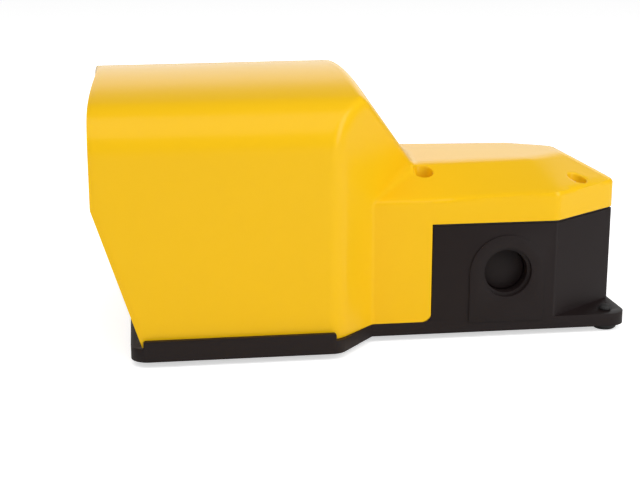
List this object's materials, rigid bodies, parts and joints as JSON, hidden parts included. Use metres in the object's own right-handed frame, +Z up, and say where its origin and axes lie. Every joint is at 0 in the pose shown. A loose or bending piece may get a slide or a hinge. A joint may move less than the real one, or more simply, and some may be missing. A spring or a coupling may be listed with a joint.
{
  "type": "industrial foot switch",
  "caption": "Industrial foot switch with a hooded rubber-faced pedal, sealed switch box, push rod, contact block and cable entries.",
  "frame": {"origin": "centre of the overall length and width, on the floor under the rubber feet", "axes": "+X from the hood's mouth to the switch box, +Y across the width, +Z up"},
  "size_m": [0.249, 0.156, 0.124],
  "materials": {
    "yellow_plastic": "satin-gloss moulded",
    "black_plastic": "satin moulded",
    "pedal_plastic": "satin moulded",
    "rubber": "matt",
    "tread_rubber": "matt, ribbed",
    "zinc_steel": "zinc plated",
    "bright_steel": "ground",
    "spring_steel": "blued",
    "brass": "turned",
    "contact_copper": "plain",
    "ivory_plastic": "moulded",
    "white_plastic": "moulded"
  },
  "bodies": {
    "base": {"base_housing": "black_plastic", "hood_cover": "yellow_plastic", "cover_gasket": "rubber", "cover_screws": "zinc_steel", "hood_screws": "zinc_steel", "rubber_feet": "rubber", "entry_discs": "black_plastic", "pivot_shaft": "bright_steel", "shaft_clips": "spring_steel", "stop_buffers": "rubber", "guide_bush": "brass", "guide_nut": "brass", "rod_seal": "rubber", "contact_block": "ivory_plastic", "block_lid": "ivory_plastic", "contact_strips": "contact_copper", "terminal_clamps": "zinc_steel", "terminal_screws": "zinc_steel", "block_screws": "zinc_steel", "return_springs": "bright_steel"},
    "pedal": {"pedal": "pedal_plastic", "tread_pad": "tread_rubber", "pivot_bushes": "white_plastic"},
    "push_rod": {"push_rod": "bright_steel", "rod_clip": "spring_steel", "contact_carrier": "white_plastic", "contact_bridges": "contact_copper", "carrier_spring": "bright_steel"}
  },
  "joints": [
    {"name": "pedal_hinge", "type": "hinge", "parent": "base", "child": "pedal", "pos_m": [0.008, 0, 0.038], "axis": [0, -1, 0], "range_deg": [0, 12], "stiffness_Nm_per_rad": 5, "springref_deg": -13.75, "deforming": ["return_springs"]},
    {"name": "rod_slide", "type": "slide", "parent": "base", "child": "push_rod", "axis": [1, 0, 0], "range_m": [0, 0.0039]}
  ],
  "couplings": [
    {"joint": "rod_slide", "follows": "pedal_hinge", "m_per_rad": 0.018}
  ]
}
